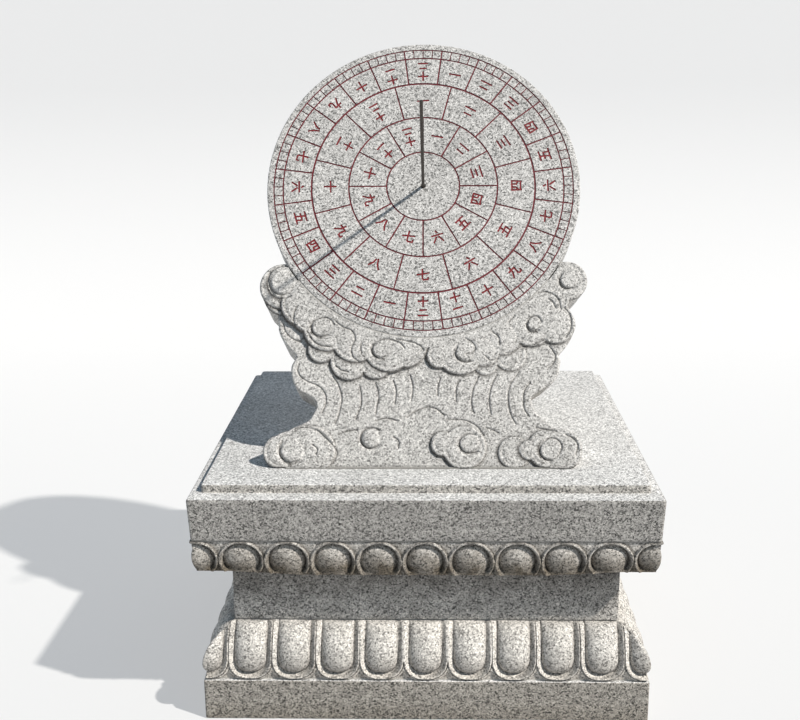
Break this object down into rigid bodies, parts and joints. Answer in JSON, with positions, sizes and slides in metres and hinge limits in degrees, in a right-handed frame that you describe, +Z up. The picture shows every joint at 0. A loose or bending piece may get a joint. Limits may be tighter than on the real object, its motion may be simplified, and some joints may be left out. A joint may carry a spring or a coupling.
{
  "type": "garden sundial",
  "caption": "Granite equatorial sundial: a leaning round dial with a metal gnomon in a cloud-carved stand on a square carved pedestal.",
  "frame": {"origin": "centre of the plinth's underside, on the ground", "axes": "+Z up, the dial and the gnomon look towards -Y, +X to the right as seen from the front"},
  "size_m": [1.112, 1.112, 1.6001],
  "materials": {
    "granite_honed": "honed grey granite",
    "granite_carved": "chiselled light granite",
    "granite_dial": "honed granite, engraved and painted red",
    "mortar": "raked cement mortar",
    "dowel_steel": "plain stainless bar",
    "stone_resin": "cured stone adhesive",
    "gnomon_metal": "weathered dark rod"
  },
  "bodies": {
    "root": {"base_plinth": "granite_honed", "plinth_mortar": "mortar", "lotus_course": "granite_carved", "lotus_mortar": "mortar", "waist_block": "granite_honed", "waist_mortar": "mortar", "bead_course": "granite_carved", "bead_mortar": "mortar", "top_slab": "granite_honed", "course_dowels": "dowel_steel", "stand_mortar": "mortar", "cloud_stand": "granite_carved", "stand_dowels": "dowel_steel", "brace_mortar": "mortar", "rear_brace": "granite_carved", "brace_dowels": "dowel_steel", "brace_resin": "stone_resin", "dial_disc": "granite_dial", "dial_resin": "stone_resin", "dial_pins": "dowel_steel", "gnomon": "gnomon_metal", "gnomon_resin": "stone_resin"}
  },
  "joints": []
}
